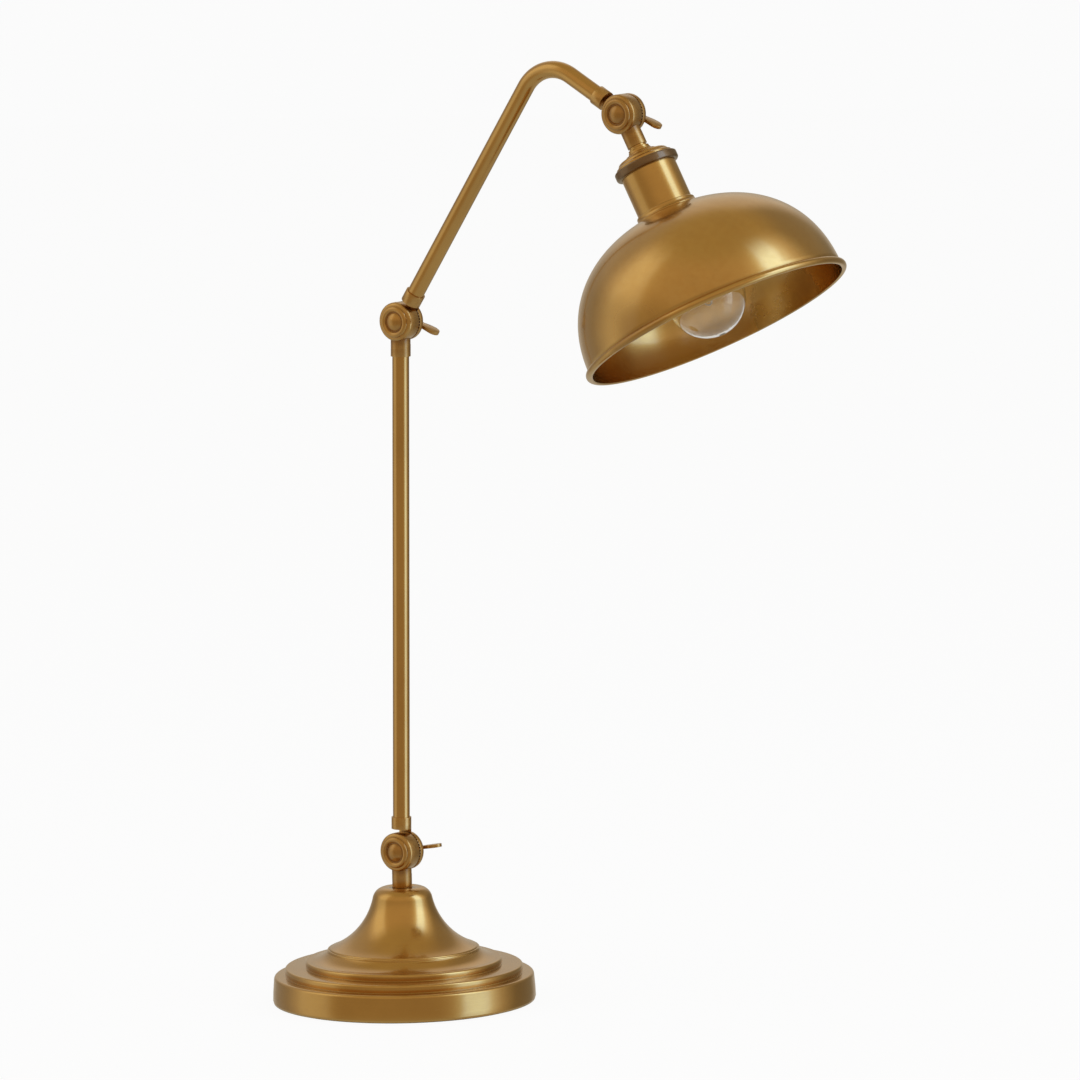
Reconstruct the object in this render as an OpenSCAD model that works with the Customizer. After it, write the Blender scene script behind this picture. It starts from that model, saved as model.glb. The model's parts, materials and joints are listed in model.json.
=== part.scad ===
// Dome shade desk lamp: a stepped round base, a straight post and a bent arm of tube,
// three toothed swivel knuckles with wing nuts, and a spun metal shade over a clear bulb.
// Millimetres, +Z up. The origin is the centre of the resting face. The arm reaches to +X,
// every hinge axis lies along Y, and the wing nuts are on the +Y side.

/* [Base] */
// Widest radius of the base
base_r = 99.4; // [90:0.2:120]
// Height of the outer plinth
plinth_h = 21; // [17:0.5:26]
// How much the plinth narrows from its foot to its top
plinth_taper = 1; // [0:0.1:2]
// Rounding of the plinth's upper edge
plinth_round = 2.5; // [1:0.25:4]
// Radius of the second tier
tier2_r = 90; // [82:0.5:94]
// Rise of the second tier above the plinth
tier2_rise = 6.25; // [4:0.25:9]
// Radius of the third tier
tier3_r = 74.5; // [66:0.5:80]
// Rise of the third tier above the second
tier3_rise = 5.25; // [4:0.25:8]
// Radius of the foot of the bell
bell_foot_r = 57.5; // [52:0.5:62]
// Rise of the bell's foot above the third tier
bell_foot_rise = 8.25; // [7:0.25:11]
// Height of the bell above its foot
bell_h = 46.4; // [42:0.2:56]
// Radius of the hollow flare of the bell
flare_r = 52.5; // [50:0.5:56]
// Slope of the flare where it meets its foot, in degrees
flare_slope = 18; // [15:1:21]
// Rounding of the bell's shoulder
shoulder_r = 10; // [8:0.5:11]
// Wall of the base shell
shell_wall = 2.4; // [1.6:0.1:3]
// Thickness of the felt pad
pad_t = 2; // [1.5:0.25:4]
// How far the felt stands below the shell's edge
pad_proud = 0.6; // [0.3:0.1:1.2]
// Bore of the cord grommet
grommet_bore = 6.4; // [5:0.2:8]
// Height of the cord outlet above the table
grommet_z = 10; // [9:0.25:12]

/* [Post and arm] */
// Outer diameter of the tubes
tube_d = 12.7; // [10.5:0.1:15.5]
// Wall of the tubes
tube_wall = 1; // [0.8:0.1:1.6]
// Distance from the lower pivot to the middle pivot
post_len = 402.8; // [300:0.2:480]
// Lean of the post towards +X, in degrees
post_lean = 1.4; // [0:0.1:4]
// Lean of the arm's long leg from upright, in degrees
arm_lean = 33.7; // [20:0.1:45]
// Distance from the middle pivot to the start of the bend
arm_leg = 215; // [160:0.2:260]
// Centre line radius of the bend
bend_r = 30.5; // [25:0.5:45]
// Angle of the bend, in degrees
bend_angle = 86.3; // [75:0.1:95]
// Distance from the end of the bend to the upper pivot
tip_leg = 53.5; // [45:0.5:80]

/* [Knuckles] */
// Height of the lower pivot above the bell's top
lower_neck = 27.1; // [24:0.1:32]
// Radius of a knuckle's discs
knuckle_r = 14.65; // [13.5:0.05:16.5]
// From a knuckle's centre plane to its front face
front_y = 8.4; // [8.2:0.1:10]
// From a knuckle's centre plane to the toothed faces
split_y = 4; // [3.6:0.1:4.4]
// From a knuckle's centre plane to its rear face
rear_y = 10; // [10:0.1:12]
// Wall of the necks round the tubes
neck_wall = 1.1; // [1:0.1:2]
// Diameter of the neck above the shade
head_neck_d = 15; // [14:0.1:15.4]
// Distance from a pivot to the end of a neck
neck_len = 26.4; // [25:0.1:28]
// Gap between a disc's edge and the full round of the other half's neck
lap_gap = 2.75; // [2:0.05:3]
// Teeth on each toothed face
teeth = 40; // [24:1:40]
// Height of a tooth
tooth_h = 0.8; // [0.5:0.05:1]
// Diameter of the clamp bolts
bolt_d = 6; // [5:0.1:7.2]
// Radial clearance of a knuckle on its bolt
bolt_gap = 0.05; // [0.03:0.01:0.08]
// Radius of the ring on the end caps
cap_r = 11.9; // [11:0.1:12]
// Radius of the dome on the end caps
dome_r = 6.8; // [5.5:0.1:7]
// Distance from a pivot to the tip of a wing
wing_reach = 22.4; // [20:0.2:28]
// Thickness of a wing
wing_t = 2.4; // [2:0.1:3]

/* [Head] */
// Angle of the shade's axis from straight down towards +X, in degrees
shade_tilt = 28.1; // [10:0.1:50]
// How far the dark ring under the socket cap stands out from the cup
ring_out = 3.3; // [2.4:0.1:5]
// Height of the dark ring
ring_h = 6.6; // [5:0.1:8]
// Radius of the socket cup
cup_r = 21.1; // [20.6:0.1:25.4]
// Length of the socket cup below the ring
cup_len = 30.5; // [26:0.2:36]
// Wall of the socket cup and its cap
cup_wall = 0.9; // [0.7:0.05:1.2]
// How far the shade collar stands out from the cup
collar_out = 3.4; // [3:0.1:6]
// Height of the shade collar
collar_h = 5.3; // [4:0.1:6]

/* [Shade and bulb] */
// Radius of the shade at its bead
shade_r = 100.6; // [80:0.2:125]
// Height of the shade's curve from its top to its bead
shade_h = 87; // [80:0.5:110]
// Roundness of the shade's curve, where 2 is an ellipse
shade_curve = 2.25; // [2:0.05:2.6]
// Wall of the shade
shade_wall = 1; // [0.8:0.1:1.5]
// Radius of the rolled bead on the rim
bead_r = 2.7; // [2:0.1:3.5]
// Radius of the bulb's glass globe
bulb_r = 29; // [24:0.5:33]
// Distance from the bulb's tip contact to the middle of its globe
bulb_len = 81; // [76:0.5:90]

/* [Hidden] */
$fn = 48;

brass = [0.67, 0.49, 0.23];
dark_bronze = [0.40, 0.28, 0.20];
iron = [0.25, 0.25, 0.26];
steel = [0.70, 0.70, 0.72];
phenolic = [0.12, 0.10, 0.09];
felt = [0.10, 0.12, 0.10];
glass = [0.85, 0.90, 0.92];

// Small clearances between pieces that seat in each other
seat = 0.05;
// Extra length of every cutting body
over = 1;

// Heights of the base, each worked out from the rises
tier2_z = plinth_h + tier2_rise;
tier3_z = tier2_z + tier3_rise;
foot_z = tier3_z + bell_foot_rise;
bell_z = foot_z + bell_h;
lip_z = pad_proud;
tier_round = 1.8;
// Each tier's wall is cut in a little at its foot
tier_cut = 0.6;
// The plinth's lower edge is cut in a little
edge_cut = 0.6;
edge_cut_h = 2;
felt_gap = 0.4;
// The flare is one hollow arc that starts at the bell's foot
flare_x = bell_foot_r + flare_r * sin(flare_slope);
flare_z = foot_z + flare_r * cos(flare_slope);
// The shoulder is a round that touches both the flare and the flat top
shoulder_z = bell_z - shoulder_r;
shoulder_x = flare_x - sqrt(pow(flare_r + shoulder_r, 2) - pow(flare_z - shoulder_z, 2));
// Angle at which the shoulder meets the flare, seen from the flare's centre
flare_top = acos((flare_z - shoulder_z) / (flare_r + shoulder_r));
// The cove rises from the third tier's edge to just under the lip round the bell's foot
cove_x = tier3_r - tier_round;
foot_edge = 1.5;
cove_w = cove_x - bell_foot_r;
cove_h = bell_foot_rise - foot_edge;
cove_r = (pow(cove_w, 2) + pow(cove_h, 2)) / (2 * cove_h);
cove_end = asin(cove_w / cove_r);
cove_z = tier3_z + cove_r;
// The lip round the bell's foot, with a fine groove between it and the flare
lip_r = 0.8;
lip_turn = 1.4;

// The threaded stem that ties the knuckle, the shell and the weight together
stem_d = 10;
stem_bore = 6.4;
weight_gap = 0.3;
weight_r = base_r - plinth_taper - shell_wall - weight_gap;
weight_top = plinth_h - shell_wall - weight_gap;
weight_z = pad_t;
stem_start = weight_z + 0.5;
stem_washer_r = 13;
stem_washer_t = 1.5;
stem_nut_d = 19.6;
stem_nut_h = 4.5;
nut_pocket_r = stem_washer_r + 2;
nut_pocket_z = weight_z + stem_nut_h + stem_washer_t + 2;

// Cord outlet: a bush through the plinth's wall, with a flange on each side
grommet_neck_r = grommet_bore / 2 + 1.25;
grommet_flange_r = grommet_bore / 2 + 3;
grommet_flange_t = 1.2;
grommet_x = base_r - 0.1;
cord_way = grommet_flange_r + weight_gap;

// Knuckles
lower_z = bell_z + lower_neck;
neck_d = tube_d + 2 * (seat + neck_wall);
neck_root = 2;
lap_r = knuckle_r + lap_gap;
socket_floor = lap_r + 1.9;
tube_start = socket_floor + 0.3;
stem_gap = 0.4;
stem_top = lower_z - socket_floor - stem_gap;
tooth_in = 9.4;
tooth_out = knuckle_r - 0.35;
tooth_w = 2 * PI * tooth_out / teeth;
tooth_gap = 0.1;
tooth_sink = 0.2;
edge_r = 2.3;
bolt_head_r = 5.2;
bolt_head_h = 3;
bolt_head_y = 4.9;
bolt_sink = 0.5;
bolt_chamfer = 0.6;
plug_r = 6.2;
plug_y = front_y - bolt_head_y;
washer_r = 6.6;
washer_h = 1.2;
nut_y = rear_y + washer_h + seat;
hub_r = 5.8;
hub_top_r = 4.7;
hub_chamfer = 0.7;
hub_foot = 1;
hub_h = 6.6;
bolt_end = nut_y + hub_h + 1.5;
wing_root = 3.6;
wing_tip_r = 5.2;
// How far the nuts are turned at rest, as angles of the wings below +X
lower_wing = -8.6;
mid_wing = 28.6;
upper_wing = 30;

// Upper pivot in the arm's own frame: up the long leg, round the bend, along the tip
tip_x = bend_r * (1 - cos(bend_angle)) + tip_leg * sin(bend_angle);
tip_z = arm_leg + bend_r * sin(bend_angle) + tip_leg * cos(bend_angle);

// The arm's short leg reaches a little way into the bend's wall
leg_sink = 0.5;
leg_skin = 0.05;

// Distances down the head's axis from the upper pivot
ring_r = cup_r + ring_out;
collar_r = cup_r + collar_out;
coupling_s = neck_len;
coupling_r = 6.6;
coupling_lip_r = 8;
coupling_h = 3.4;
cap_s = coupling_s + coupling_h;
cap_h = 9.9;
ring_s = cap_s + cap_h;
cup_s = ring_s + ring_h;
collar_s = cup_s + cup_len;
shade_s = collar_s + collar_h;
// The cup's upper end and the cap's skirt overlap inside the ring
skirt_r = cup_r - cup_wall - 1.2;
skirt_h = 3.4;
cup_lap = 2.2;
collar_plug = 2.4;
holder_r = 16.9;
hole_r = holder_r + 0.7;
holder_s = cup_s + 8;
holder_neck_r = 12;
holder_len = 42;
holder_end = holder_s + holder_len;
ring_nut_r = 22.6;
ring_nut_hub_r = 20;
ring_nut_h = 5.2;
shell_r = 14.2;
shell_t = 0.6;
shell_hole_r = 8.4;
shell_floor_t = 0.9;
floor_s = holder_s + 9;
ledge_s = floor_s + 6.6;
shell_s = ledge_s + shell_floor_t;
contact_s = ledge_s;
contact_w = 4;
contact_t = 0.6;
contact_post = 0.8;
contact_reach = 2.5;
contact_x = 6.2;
tip_s = contact_s + seat;
// The shade's curve is a superellipse with its middle at the bead
bead_s = shade_s + shade_h;
shade_flat = collar_r + 0.4;

// Bulb, measured along the head's axis from its tip contact
globe_s = tip_s + bulb_len;
screw_r = shell_r - shell_t - 0.5;
screw_t = 0.4;
screw_s = tip_s + 2.8;
insulator_r = 10;
insulator_rim = 0.5;
insulator_s = tip_s + 1;
screw_len = 23;
screw_end = screw_s + screw_len;
glass_wall = 0.7;
glass_root = screw_r - screw_t - seat;
glass_sink = 6;
neck_turn = 35;
glass_neck_r = 14.2;
neck_arc = (bulb_r * cos(neck_turn) - glass_neck_r) / (1 - cos(neck_turn));
neck_s = globe_s - (bulb_r + neck_arc) * sin(neck_turn);
filament_s = globe_s - 2;
stem_end = filament_s - 18;
wire_r = 0.35;
wire_x = 1.4;
wire_gap = 0.16;
filament_r = 7;

// Points of an arc about [x, y] from angle a to angle b
function arc(x, y, r, a, b, n = 8) =
    [for (i = [0:n]) let (t = a + (b - a) * i / n) [x + r * cos(t), y + r * sin(t)]];
// Points given as [radius, distance down the axis], turned to the head's frame
function down(points) = [for (p = points) [p[0], -p[1]]];

module spun(points) { rotate_extrude($fn = 96) polygon(points); }
module rod(d, a, b) { translate([0, 0, a]) cylinder(d = d, h = b - a); }
// A rod along Y from a to b
module cross_rod(d, a, b) { translate([0, a, 0]) rotate([-90, 0, 0]) cylinder(d = d, h = b - a); }
module at_lower() { translate([0, 0, lower_z]) children(); }
module at_post() { at_lower() rotate([0, post_lean, 0]) children(); }
module at_mid() { at_post() translate([0, 0, post_len]) children(); }
module at_arm() { at_mid() rotate([0, arm_lean - post_lean, 0]) children(); }
module at_tip() { at_arm() translate([tip_x, 0, tip_z]) children(); }
module at_tip_end() { at_tip() rotate([0, bend_angle + 180, 0]) children(); }
module at_head() { at_tip() rotate([0, -shade_tilt - arm_lean, 0]) children(); }

// ---- Base ----

module base_shell() {
    outside = concat(
        [[base_r - edge_cut, lip_z], [base_r, lip_z + edge_cut_h]],
        arc(base_r - plinth_taper - plinth_round, plinth_h - plinth_round, plinth_round, 0, 90, 6),
        [[tier2_r - tier_cut, plinth_h], [tier2_r, plinth_h + 2 * tier_cut]],
        arc(tier2_r - tier_round, tier2_z - tier_round, tier_round, 0, 90, 4),
        [[tier3_r - tier_cut, tier2_z], [tier3_r, tier2_z + 2 * tier_cut]],
        arc(tier3_r - tier_round, tier3_z - tier_round, tier_round, 0, 90, 4),
        arc(cove_x, cove_z, cove_r, 270, 270 - cove_end, 10),
        arc(bell_foot_r - lip_r, foot_z - lip_r, lip_r, 0, 100, 5),
        [[bell_foot_r - 1.3, foot_z - 0.4]],
        arc(flare_x, flare_z, flare_r, 270 - flare_slope - lip_turn, 270 - flare_top, 18),
        arc(shoulder_x, shoulder_z, shoulder_r, 90 - flare_top, 90, 8));
    inside = concat(
        arc(shoulder_x, shoulder_z, shoulder_r - shell_wall, 90, 90 - flare_top, 8),
        arc(flare_x, flare_z, flare_r + shell_wall, 270 - flare_top, 270 - flare_slope, 18),
        arc(cove_x, cove_z, cove_r + shell_wall, 270 - cove_end, 270, 10),
        [[tier3_r - shell_wall, tier3_z - shell_wall], [tier3_r - shell_wall, tier2_z - shell_wall],
        [tier2_r - shell_wall, tier2_z - shell_wall], [tier2_r - shell_wall, plinth_h - shell_wall],
        [base_r - plinth_taper - shell_wall, plinth_h - shell_wall],
        [base_r - shell_wall, lip_z + edge_cut_h], [base_r - shell_wall, lip_z]]);
    hole = stem_d / 2 + seat;
    color(brass) difference() {
        spun(concat(outside, [[hole, bell_z], [hole, bell_z - shell_wall]], inside));
        translate([-base_r - over, 0, grommet_z]) rotate([0, 90, 0])
            cylinder(r = grommet_neck_r + seat, h = shell_wall + plinth_taper + 2 * over);
    }
}

module base_weight() {
    color(iron) difference() {
        rod(2 * weight_r, weight_z, weight_top);
        rod(stem_d + 2 * seat, weight_z - over, weight_top + over);
        rod(2 * nut_pocket_r, weight_z - over, nut_pocket_z);
        // The way for the cord, from the outlet to the stem's lower end
        translate([-weight_r - over, -cord_way, weight_z - over])
            cube([weight_r + over, 2 * cord_way, grommet_z + cord_way - weight_z + over]);
    }
}

module felt_pad() {
    color(felt) rod(2 * (base_r - shell_wall - felt_gap), 0, pad_t);
}

module stem_nipple() {
    color(steel) difference() {
        rod(stem_d, stem_start, stem_top);
        rod(stem_bore, weight_z - over, stem_top + over);
    }
}

module stem_washer() {
    color(steel) difference() {
        rod(2 * stem_washer_r, nut_pocket_z - stem_washer_t, nut_pocket_z);
        rod(stem_d + 2 * seat, nut_pocket_z - stem_washer_t - over, nut_pocket_z + over);
    }
}

module stem_nut() {
    top = nut_pocket_z - stem_washer_t;
    color(steel) difference() {
        translate([0, 0, top - stem_nut_h]) cylinder(d = stem_nut_d, h = stem_nut_h, $fn = 6);
        rod(stem_d + 2 * seat, top - stem_nut_h - over, top + over);
    }
}

module cord_grommet() {
    gap = grommet_x - (base_r - plinth_taper - shell_wall - felt_gap);
    round_h = grommet_flange_t / 2;
    color(phenolic) translate([-grommet_x, 0, grommet_z]) rotate([0, 90, 0]) spun([
        [grommet_bore / 2, -grommet_flange_t], [grommet_flange_r - round_h, -grommet_flange_t],
        [grommet_flange_r, -round_h], [grommet_flange_r, 0], [grommet_neck_r, 0],
        [grommet_neck_r, gap], [grommet_flange_r, gap], [grommet_flange_r, gap + grommet_flange_t],
        [grommet_bore / 2, gap + grommet_flange_t]]);
}

// ---- Knuckles: hinge axis along Y through the origin ----

// A ring of radial teeth that point along +Y (side 1) or -Y (side -1)
module tooth_ring(y, side) {
    for (i = [0:teeth - 1])
        rotate([0, i * 360 / teeth, 0]) translate([tooth_in, y, 0]) rotate([90, 0, 90])
            linear_extrude(height = tooth_out - tooth_in)
                polygon([[-side * tooth_sink, -tooth_w / 2], [side * tooth_h, 0],
                    [-side * tooth_sink, tooth_w / 2]]);
}

// A disc about Y from y = a to y = b, with its edge rounded at both ends or one
module disc(a, b, round_a, round_b) {
    rotate([-90, 0, 0]) spun(concat([[0, a]],
        round_a > 0 ? arc(knuckle_r - round_a, a + round_a, round_a, -90, 0, 4) : [[knuckle_r, a]],
        round_b > 0 ? arc(knuckle_r - round_b, b - round_b, round_b, 0, 90, 4) : [[knuckle_r, b]],
        [[0, b]]));
}

// The half that carries the bolt and the cap. Its neck points down.
module knuckle_front(neck, length, bore, bore_end) {
    root = split_y - tooth_h;
    difference() {
        union() {
            disc(-front_y, root, edge_r, 0);
            tooth_ring(root, 1);
            rod(neck, -length, -lap_r);
            intersection() {
                rod(neck, -lap_r - over, -neck_root);
                translate([-neck, -neck, -lap_r - over]) cube([2 * neck, neck + root, lap_r + over]);
            }
        }
        cross_rod(bolt_d + 2 * bolt_gap, -front_y - over, split_y + over);
        cross_rod(2 * plug_r, -front_y - over, -bolt_head_y);
        translate([0, -bolt_head_y - over, 0]) rotate([-90, 0, 0])
            cylinder(r = bolt_head_r + seat, h = bolt_head_h + over, $fn = 6);
        rod(bore, -length - over, -bore_end);
    }
}

// The half that turns on the bolt. Its neck points up.
module knuckle_rear() {
    root = split_y + tooth_gap + tooth_h;
    difference() {
        union() {
            disc(root, rear_y, 0, edge_r);
            tooth_ring(root, -1);
            rod(neck_d, lap_r, neck_len);
            intersection() {
                rod(neck_d, neck_root, lap_r + over);
                translate([-neck_d, root, 0]) cube([2 * neck_d, neck_d, lap_r + over]);
            }
        }
        cross_rod(bolt_d + 2 * bolt_gap, split_y - over, rear_y + over);
        rod(tube_d + 2 * seat, socket_floor, neck_len + over);
    }
}

module clamp_bolt() {
    seat_y = -bolt_head_y + bolt_head_h;
    translate([0, -bolt_head_y, 0]) rotate([-90, 0, 0])
        cylinder(r = bolt_head_r, h = bolt_head_h, $fn = 6);
    cross_rod(bolt_d, seat_y - bolt_sink, bolt_end - bolt_chamfer);
    translate([0, bolt_end - bolt_chamfer, 0]) rotate([-90, 0, 0])
        cylinder(r1 = bolt_d / 2, r2 = bolt_d / 2 - bolt_chamfer, h = bolt_chamfer);
}

// The end cap: a plug, a rounded ring, a groove and a dome in the middle
module end_cap() {
    crown = 2.7;
    dome_y = 0.6;
    ring_y = 1.8;
    ring_x = cap_r - 2.2;
    ring_r = 2.3;
    plug_gap = 0.1;
    ball = (pow(dome_r, 2) + pow(crown, 2)) / (2 * crown);
    ball_end = asin(dome_r / ball);
    translate([0, -front_y, 0]) rotate([90, 0, 0]) spun(concat(
        [[0, plug_gap - plug_y], [plug_r - seat, plug_gap - plug_y], [plug_r - seat, 0], [cap_r, 0]],
        arc(ring_x, ring_y - ring_r, ring_r, 20, 148, 10),
        [[dome_r + 0.6, 0.3], [dome_r, dome_y]],
        arc(0, dome_y + crown - ball, ball, 90 - ball_end, 90, 8)));
}

module plain_washer() {
    difference() {
        cross_rod(2 * washer_r, rear_y, rear_y + washer_h);
        cross_rod(bolt_d + 2 * bolt_gap, rear_y - over, rear_y + washer_h + over);
    }
}

// Outline of one wing in the plane of the bolt: along the radius, then along the bolt
function wing_outline() = concat(
    [[wing_root, 0.8], [7, 1.2], [12, 2.4]],
    arc(wing_reach - wing_tip_r, 8.4, wing_tip_r, -80, 110, 12),
    [[12, 11.6], [8, 8.6], [5, 6], [wing_root, 5.6]]);

// angle turns the wings below +X
module wing_nut(angle) {
    difference() {
        rotate([0, angle, 0]) union() {
            translate([0, nut_y, 0]) rotate([-90, 0, 0]) spun([[0, 0], [hub_r, 0], [hub_r, hub_foot],
                [hub_top_r, hub_h - hub_chamfer], [hub_top_r - hub_chamfer, hub_h], [0, hub_h]]);
            for (turn = [0, 180]) rotate([0, turn, 0]) translate([0, nut_y, wing_t / 2])
                mirror([0, 0, 1]) linear_extrude(height = wing_t) polygon(wing_outline());
        }
        cross_rod(bolt_d + 2 * bolt_gap, nut_y - over, bolt_end + over);
    }
}

module lower_knuckle_front() {
    color(brass) at_lower()
        knuckle_front(neck_d, lower_neck, stem_d + 2 * seat, socket_floor);
}
module lower_bolt() { color(steel) at_lower() clamp_bolt(); }
module lower_cap() { color(brass) at_lower() end_cap(); }
module lower_knuckle_rear() { color(brass) at_post() knuckle_rear(); }
module lower_washer() { color(brass) at_lower() plain_washer(); }
module lower_wing_nut() { color(brass) at_lower() wing_nut(lower_wing); }
module mid_knuckle_front() {
    color(brass) at_mid() knuckle_front(neck_d, neck_len, tube_d + 2 * seat, socket_floor);
}
module mid_bolt() { color(steel) at_mid() clamp_bolt(); }
module mid_cap() { color(brass) at_mid() end_cap(); }
module mid_knuckle_rear() { color(brass) at_arm() knuckle_rear(); }
module mid_washer() { color(brass) at_mid() plain_washer(); }
module mid_wing_nut() { color(brass) at_mid() wing_nut(mid_wing - post_lean); }
module upper_knuckle_rear() { color(brass) at_tip_end() knuckle_rear(); }
module upper_knuckle_front() {
    color(brass) at_head() knuckle_front(head_neck_d, neck_len, stem_d + 2 * seat, socket_floor);
}
module upper_bolt() { color(steel) at_head() clamp_bolt(); }
module upper_cap() { color(brass) at_head() end_cap(); }
module upper_washer() { color(brass) at_head() plain_washer(); }
module upper_wing_nut() { color(brass) at_head() wing_nut(upper_wing + shade_tilt); }

// ---- Tubes ----

// A tube along Z from a to b, with both its surfaces inside the true wall by skin
module tube(a, b, skin = 0) {
    difference() {
        rod(tube_d - 2 * skin, a, b);
        rod(tube_d - 2 * tube_wall + 2 * skin, a - over, b + over);
    }
}

// The bend is a ring swept about the bend's centre
module bend() {
    translate([bend_r, 0, arm_leg]) rotate([90, 0, 180])
        rotate_extrude(angle = bend_angle, $fn = 96) translate([bend_r, 0]) difference() {
            circle(d = tube_d);
            circle(d = tube_d - 2 * tube_wall);
        }
}

module post_tube() { color(brass) at_post() tube(tube_start, post_len - tube_start); }

module arm_tube() {
    color(brass) at_arm() {
        tube(tube_start, arm_leg);
        bend();
        translate([tip_x, 0, tip_z]) rotate([0, bend_angle, 0])
            tube(-tip_leg - leg_sink, -tube_start, leg_skin);
    }
}

// ---- Head: the axis runs down from the upper pivot ----

module head_nipple() {
    color(steel) at_head() difference() {
        rod(stem_d, -floor_s + 2.2, -socket_floor - stem_gap);
        rod(stem_bore, -floor_s, -socket_floor + over);
    }
}

module head_coupling() {
    hole = stem_d / 2 + seat;
    color(brass) at_head() spun(down([[hole, coupling_s], [coupling_r, coupling_s],
        [coupling_r, cap_s - 1.9], [coupling_lip_r, cap_s - 1.6], [coupling_lip_r, cap_s],
        [hole, cap_s]]));
}

module socket_cap() {
    hole = stem_d / 2 + seat;
    color(brass) at_head() spun(down(concat(
        [[hole, cap_s], [8.6, cap_s], [8.8, cap_s + 1.2], [10, cap_s + 1.9]],
        arc(15.6, cap_s + 0.1, 4.6, 150, 84, 5),
        arc(16.4, cap_s + 7.9, 3.4, -80, -15, 5),
        [[cup_r + 0.6, cap_s + 8.3], [cup_r + 0.8, ring_s], [skirt_r, ring_s],
        [skirt_r, ring_s + skirt_h], [skirt_r - cup_wall, ring_s + skirt_h],
        [skirt_r - cup_wall, ring_s - 2], [14.4, cap_s + 5.9],
        [9, cap_s + 3.2], [hole, cap_s + 2.2]])));
}

module socket_ring() {
    color(dark_bronze) at_head() spun(down(concat(
        [[skirt_r + seat, ring_s]],
        arc(ring_r - 1.4, ring_s + 1.4, 1.4, -90, 0, 4),
        arc(ring_r - 2, cup_s - 2, 2, 0, 90, 4),
        [[cup_r + seat, cup_s], [cup_r + seat, cup_s - cup_lap],
        [skirt_r + seat, cup_s - cup_lap]])));
}

module socket_cup() {
    color(brass) at_head() spun(down([[cup_r - cup_wall, cup_s - cup_lap],
        [cup_r, cup_s - cup_lap], [cup_r, collar_s], [cup_r - cup_wall, collar_s]]));
}

module shade_collar() {
    lip = cup_r - cup_wall - seat;
    color(brass) at_head() spun(down(concat(
        [[hole_r, collar_s - collar_plug], [lip, collar_s - collar_plug], [lip, collar_s],
        [cup_r + 1.2, collar_s], [cup_r + 1.6, collar_s + 0.5], [cup_r + 1.8, collar_s + 2.2],
        [cup_r + 2.3, shade_s - 1.9]],
        arc(collar_r - 0.8, shade_s - 0.8, 0.8, -60, 90, 5),
        [[hole_r, shade_s]])));
}

// The curve starts on the flat top, at the collar's edge, and h is its height from there
function curve_start(r) = acos(pow(shade_flat / r, shade_curve / 2));
function curve_h(r, h) = h / pow(sin(curve_start(r)), 2 / shade_curve);
// Point of the curve at angle a, where 0 is the rim
function curve(r, h, a) =
    [r * pow(cos(a), 2 / shade_curve), bead_s - curve_h(r, h) * pow(sin(a), 2 / shade_curve)];

module shade() {
    inner_r = shade_r - shade_wall;
    inner_h = shade_h - shade_wall;
    n = 26;
    a = curve_start(shade_r);
    b = curve_start(inner_r);
    color(brass) at_head() {
        spun(down(concat([[hole_r, shade_s]],
            [for (i = [0:n]) curve(shade_r, shade_h, a * (1 - i / n))],
            [for (i = [0:n]) curve(inner_r, inner_h, b * i / n)],
            [[hole_r, shade_s + shade_wall]])));
        translate([0, 0, -bead_s]) rotate_extrude($fn = 96)
            translate([shade_r + 0.4, 0]) circle(r = bead_r, $fn = 24);
    }
}

module shade_ring_nut() {
    top = shade_s + shade_wall;
    color(brass) at_head() spun(down([[holder_r + seat, top], [ring_nut_r, top], [ring_nut_r, top + 2],
        [ring_nut_hub_r, top + 2.8], [ring_nut_hub_r, top + ring_nut_h],
        [holder_r + seat, top + ring_nut_h]]));
}

module lampholder_body() {
    hole = stem_d / 2 + seat;
    color(phenolic) at_head() spun(down([[hole, holder_s], [holder_neck_r - 1, holder_s],
        [holder_neck_r, holder_s + 1], [holder_neck_r, holder_s + 5], [holder_r, holder_s + 7],
        [holder_r, holder_end], [shell_r + seat, holder_end], [shell_r + seat, ledge_s],
        [shell_hole_r - 0.4, ledge_s], [shell_hole_r - 0.4, floor_s], [hole, floor_s]]));
}

module lampholder_shell() {
    bore = shell_r - shell_t;
    end = holder_end - 2.5;
    color(brass) at_head() spun(down([[shell_hole_r, ledge_s], [shell_r, ledge_s], [shell_r, end],
        [bore, end], [bore, shell_s], [shell_hole_r, shell_s]]));
}

// A spring tongue on a small post at the edge of the holder's floor
module lampholder_contact() {
    color(brass) at_head() {
        translate([-contact_reach, -contact_w / 2, -contact_s])
            cube([contact_reach + contact_x + contact_post, contact_w, contact_t]);
        translate([contact_x, -contact_w / 2, -contact_s])
            cube([contact_post, contact_w, contact_s - floor_s]);
    }
}

// ---- Bulb ----

module bulb_screw_cap() {
    inner = screw_r - screw_t;
    color(brass) at_head() spun(down([[insulator_r, screw_s], [screw_r - 1, screw_s],
        [screw_r, screw_s + 2], [screw_r, screw_end], [inner, screw_end],
        [inner, screw_s + 2.2], [insulator_r, screw_s + insulator_rim]]));
}

module bulb_insulator() {
    rim = screw_s + insulator_rim;
    color(phenolic) at_head() spun(down([[0, insulator_s], [5.4, insulator_s],
        [insulator_r, screw_s], [insulator_r, rim], [0, rim]]));
}

module bulb_contact() {
    color(steel) at_head()
        spun(down([[0, tip_s], [3, tip_s + 0.2], [4.4, insulator_s], [0, insulator_s]]));
}

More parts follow.
